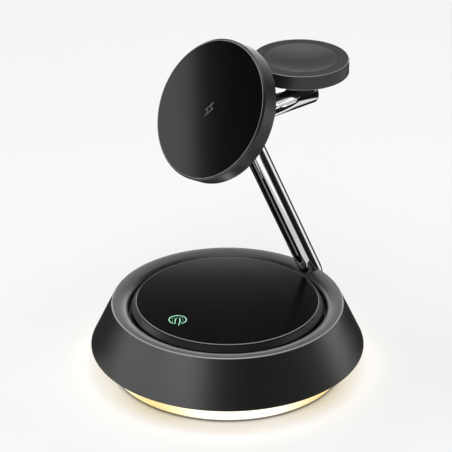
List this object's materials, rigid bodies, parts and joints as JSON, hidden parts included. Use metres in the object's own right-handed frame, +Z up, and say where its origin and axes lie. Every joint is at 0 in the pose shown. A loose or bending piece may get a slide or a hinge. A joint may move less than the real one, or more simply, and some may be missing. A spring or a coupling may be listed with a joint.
{
  "type": "wireless charging stand",
  "caption": "Round lit base with a charging pad, a bent bright stem with a tilting phone charging disc, and a flat watch charging disc on the stem's arm.",
  "frame": {"origin": "middle of the rubber foot's lower face, on the table and on the base's axis", "axes": "+Z up, -Y to the front, where the phone disc's face looks, +Y to the back, where the stem stands"},
  "size_m": [0.116, 0.118, 0.1457],
  "materials": {
    "shell_black": "fine satin moulding",
    "gloss_black": "polished",
    "bright_tube": "polished plating",
    "hinge_metal": "black satin coat",
    "light_ring": "translucent, lit from inside",
    "foot_rubber": "matt",
    "chassis_plastic": "satin moulding",
    "steel": "plain",
    "board": "solder mask",
    "lamp": "clear dome",
    "copper": "enamelled copper wire",
    "ferrite": "sintered"
  },
  "bodies": {
    "stand": {"base_shell": "shell_black", "pad_collar": "shell_black", "watch_shell": "shell_black", "watch_dish": "shell_black", "watch_boss": "shell_black", "pad_plate": "gloss_black", "stem_tube": "bright_tube", "hinge_saddle": "hinge_metal", "diffuser_ring": "light_ring", "foot_pad": "foot_rubber", "wire_harness": "foot_rubber", "base_chassis": "chassis_plastic", "arm_cap": "chassis_plastic", "counterweight": "steel", "chassis_screws": "steel", "boss_screw": "steel", "usb_socket": "steel", "watch_magnet": "steel", "main_board": "board", "led_strip": "board", "watch_board": "board", "led_chips": "lamp", "pad_coil": "copper", "watch_coil": "copper", "touch_electrode": "copper", "pad_ferrite": "ferrite", "watch_ferrite": "ferrite"},
    "phone_head": {"phone_shell": "shell_black", "phone_face": "gloss_black", "phone_magnets": "steel", "phone_coil": "copper", "phone_ferrite": "ferrite", "phone_board": "board", "phone_yoke": "hinge_metal", "yoke_screws": "steel", "hinge_pin": "steel", "friction_washers": "steel"}
  },
  "joints": [
    {"name": "phone_tilt", "type": "hinge", "parent": "stand", "child": "phone_head", "pos_m": [0, 0.00337, 0.11331], "axis": [-1, 0, 0], "range_deg": [-29, 16]}
  ]
}
